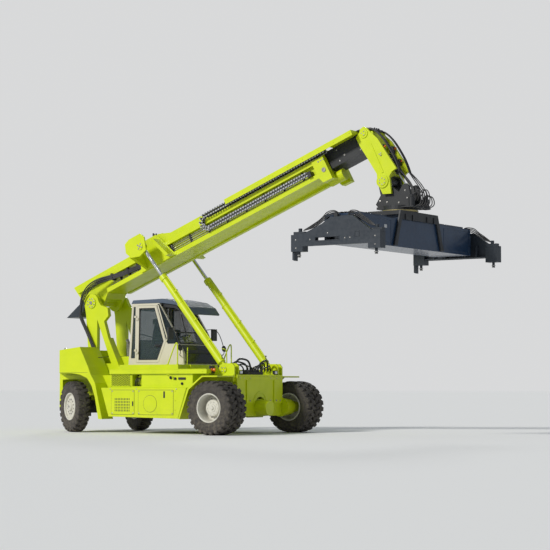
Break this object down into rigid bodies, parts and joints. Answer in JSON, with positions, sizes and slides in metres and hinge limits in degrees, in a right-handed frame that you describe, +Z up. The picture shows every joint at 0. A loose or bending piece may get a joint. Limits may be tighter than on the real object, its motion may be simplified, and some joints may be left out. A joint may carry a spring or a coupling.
{
  "type": "reach stacker",
  "caption": "Wheeled container handler with a telescopic boom, lift cylinders, slewing head and a telescopic container spreader.",
  "frame": {"origin": "on the ground, under the middle of the machine's bounding box", "axes": "+X the way it drives, towards the spreader; +Y the machine's left; +Z up"},
  "size_m": [11.805, 6.06, 7.71],
  "materials": {
    "lime_paint": "gloss lime green paint",
    "tyre": "worn matt black rubber with block tread",
    "rim_paint": "cream paint",
    "cream_paint": "satin beige paint",
    "black_steel": "satin black paint",
    "navy_paint": "satin blue-black paint",
    "slate_paint": "satin slate grey paint",
    "chrome": "polished rod",
    "glass": "tinted cab glass",
    "roof_plastic": "dark blue-grey panel",
    "seat_fabric": "black woven cloth",
    "light_grey": "grey plastic links"
  },
  "bodies": {
    "chassis": {"main_frame": "lime_paint", "counterweight": "lime_paint", "boom_tower_right": "lime_paint", "boom_tower_left": "lime_paint", "powertrain": "black_steel", "engine_hood": "lime_paint", "side_box_right": "lime_paint", "side_box_left": "lime_paint", "side_bay_right": "lime_paint", "side_bay_left": "lime_paint", "fender_right": "lime_paint", "fender_left": "lime_paint", "front_axle": "lime_paint", "steer_axle": "black_steel", "cab_base": "lime_paint", "cab_shell": "cream_paint", "cab_roof": "roof_plastic", "windshield": "glass", "seat": "seat_fabric", "steering_wheel": "black_steel"},
    "boom": {"outer_boom": "lime_paint", "rod_bracket_right": "lime_paint", "rod_bracket_left": "lime_paint", "hose_guard": "slate_paint", "chain_lower": "light_grey"},
    "boom_extension": {"inner_boom": "black_steel", "boom_head": "lime_paint", "hose_tray": "lime_paint"},
    "hose_chain": {"chain_loop": "light_grey"},
    "rotator": {"rotator_bracket": "black_steel"},
    "slewing_saddle": {"saddle": "black_steel"},
    "spreader": {"spreader_frame": "navy_paint"},
    "front_wheels_right": {"rim_front_right": "rim_paint", "tyre_front_right_outer": "tyre", "tyre_front_right_inner": "tyre"},
    "rear_wheel_right": {"rim_rear_right": "rim_paint", "tyre_rear_right": "tyre"},
    "steering_knuckle_right": {"knuckle_right": "black_steel"},
    "cab_door_right": {"door_right": "cream_paint", "door_glass_right": "glass"},
    "lift_cylinder_right": {"lift_barrel_right": "lime_paint"},
    "lift_piston_right": {"lift_rod_right": "chrome"},
    "damper_right": {"damper_barrel_right": "black_steel"},
    "damper_piston_right": {"damper_rod_right": "chrome"},
    "spreader_beam_right": {"beam_right": "slate_paint"},
    "front_wheels_left": {"rim_front_left": "rim_paint", "tyre_front_left_outer": "tyre", "tyre_front_left_inner": "tyre"},
    "rear_wheel_left": {"rim_rear_left": "rim_paint", "tyre_rear_left": "tyre"},
    "steering_knuckle_left": {"knuckle_left": "black_steel"},
    "cab_door_left": {"door_left": "cream_paint", "door_glass_left": "glass"},
    "lift_cylinder_left": {"lift_barrel_left": "lime_paint"},
    "lift_piston_left": {"lift_rod_left": "chrome"},
    "damper_left": {"damper_barrel_left": "black_steel"},
    "damper_piston_left": {"damper_rod_left": "chrome"},
    "spreader_beam_left": {"beam_left": "slate_paint"}
  },
  "joints": [
    {"name": "front_wheels_right_spin", "type": "hinge", "parent": "chassis", "child": "front_wheels_right", "pos_m": [0.3475, -1.7895, 0.685], "axis": [0, 1, 0], "continuous": true},
    {"name": "front_wheels_left_spin", "type": "hinge", "parent": "chassis", "child": "front_wheels_left", "pos_m": [0.3475, 1.7895, 0.685], "axis": [0, 1, 0], "continuous": true},
    {"name": "steer_right", "type": "hinge", "parent": "chassis", "child": "steering_knuckle_right", "pos_m": [-4.6875, -1.1, 0.685], "axis": [0, 0, 1], "range_deg": [-29, 81]},
    {"name": "rear_wheel_right_spin", "type": "hinge", "parent": "steering_knuckle_right", "child": "rear_wheel_right", "pos_m": [-4.77517, -1.27976, 0.685], "axis": [0.4384, 0.8988, 0], "continuous": true},
    {"name": "steer_left", "type": "hinge", "parent": "chassis", "child": "steering_knuckle_left", "pos_m": [-4.6875, 1.1, 0.685], "axis": [0, 0, 1], "range_deg": [-29, 81]},
    {"name": "rear_wheel_left_spin", "type": "hinge", "parent": "steering_knuckle_left", "child": "rear_wheel_left", "pos_m": [-4.59983, 1.27976, 0.685], "axis": [0.4384, 0.8988, 0], "continuous": true},
    {"name": "door_right_hinge", "type": "hinge", "parent": "chassis", "child": "cab_door_right", "pos_m": [-3.0825, -0.7663, 2.6], "axis": [0, 0, -1], "range_deg": [0, 85]},
    {"name": "door_left_hinge", "type": "hinge", "parent": "chassis", "child": "cab_door_left", "pos_m": [-3.0825, 0.7663, 2.6], "axis": [0, 0, 1], "range_deg": [0, 85]},
    {"name": "boom_lift", "type": "hinge", "parent": "chassis", "child": "boom", "pos_m": [-4.7225, 0, 3.51], "axis": [0, -1, 0], "range_deg": [-20.5, 38.5]},
    {"name": "boom_extend", "type": "slide", "parent": "boom", "child": "boom_extension", "axis": [0.9317, 0, 0.3633], "range_m": [0, 5.6]},
    {"name": "hose_chain_slide", "type": "slide", "parent": "boom", "child": "hose_chain", "axis": [0.9317, 0, 0.3633], "range_m": [0, 2.8]},
    {"name": "lift_cylinder_right_swing", "type": "hinge", "parent": "chassis", "child": "lift_cylinder_right", "pos_m": [0.0675, -0.988, 1.66], "axis": [0, -1, 0], "range_deg": [-1, 2]},
    {"name": "lift_piston_right_slide", "type": "slide", "parent": "lift_cylinder_right", "child": "lift_piston_right", "axis": [-0.6441, 0, 0.7649], "range_m": [-0.86, 1.61]},
    {"name": "lift_cylinder_left_swing", "type": "hinge", "parent": "chassis", "child": "lift_cylinder_left", "pos_m": [0.0675, 0.988, 1.66], "axis": [0, -1, 0], "range_deg": [-1, 2]},
    {"name": "lift_piston_left_slide", "type": "slide", "parent": "lift_cylinder_left", "child": "lift_piston_left", "axis": [-0.6441, 0, 0.7649], "range_m": [-0.86, 1.61]},
    {"name": "rotator_level", "type": "hinge", "parent": "boom_extension", "child": "rotator", "pos_m": [4.3875, 0, 6.3], "axis": [0, -1, 0], "range_deg": [-38.6, 20.6]},
    {"name": "damper_right_swing", "type": "hinge", "parent": "boom_extension", "child": "damper_right", "pos_m": [4.3275, -0.11, 6.98], "axis": [0, -1, 0], "range_deg": [-16, 9]},
    {"name": "damper_piston_right_slide", "type": "slide", "parent": "damper_right", "child": "damper_piston_right", "axis": [0.5967, 0, -0.8025], "range_m": [-0.15, 0.23]},
    {"name": "damper_left_swing", "type": "hinge", "parent": "boom_extension", "child": "damper_left", "pos_m": [4.3275, 0.11, 6.98], "axis": [0, -1, 0], "range_deg": [-16, 9]},
    {"name": "damper_piston_left_slide", "type": "slide", "parent": "damper_left", "child": "damper_piston_left", "axis": [0.5967, 0, -0.8025], "range_m": [-0.15, 0.23]},
    {"name": "slew", "type": "hinge", "parent": "rotator", "child": "slewing_saddle", "pos_m": [4.6675, 0, 5.6], "axis": [0, 0, 1], "range_deg": [-95, 185]},
    {"name": "side_shift", "type": "slide", "parent": "slewing_saddle", "child": "spreader", "axis": [0, 1, 0], "range_m": [-0.8, 0.8]},
    {"name": "spreader_right_extend", "type": "slide", "parent": "spreader", "child": "spreader_beam_right", "axis": [0, -1, 0], "range_m": [0, 3.05]},
    {"name": "spreader_left_extend", "type": "slide", "parent": "spreader", "child": "spreader_beam_left", "axis": [0, 1, 0], "range_m": [0, 3.05]}
  ],
  "couplings": [
    {"joint": "steer_left", "follows": "steer_right", "ratio": 1},
    {"joint": "hose_chain_slide", "follows": "boom_extend", "ratio": 0.5},
    {"joint": "lift_cylinder_right_swing", "follows": "boom_lift", "ratio": 0.036},
    {"joint": "lift_piston_right_slide", "follows": "boom_lift", "m_per_rad": 2.375},
    {"joint": "lift_cylinder_left_swing", "follows": "boom_lift", "ratio": 0.036},
    {"joint": "lift_piston_left_slide", "follows": "boom_lift", "m_per_rad": 2.375},
    {"joint": "rotator_level", "follows": "boom_lift", "ratio": -1},
    {"joint": "damper_right_swing", "follows": "boom_lift", "ratio": -0.405},
    {"joint": "damper_piston_right_slide", "follows": "boom_lift", "m_per_rad": 0.33},
    {"joint": "damper_left_swing", "follows": "boom_lift", "ratio": -0.405},
    {"joint": "damper_piston_left_slide", "follows": "boom_lift", "m_per_rad": 0.33},
    {"joint": "spreader_left_extend", "follows": "spreader_right_extend", "ratio": 1}
  ]
}
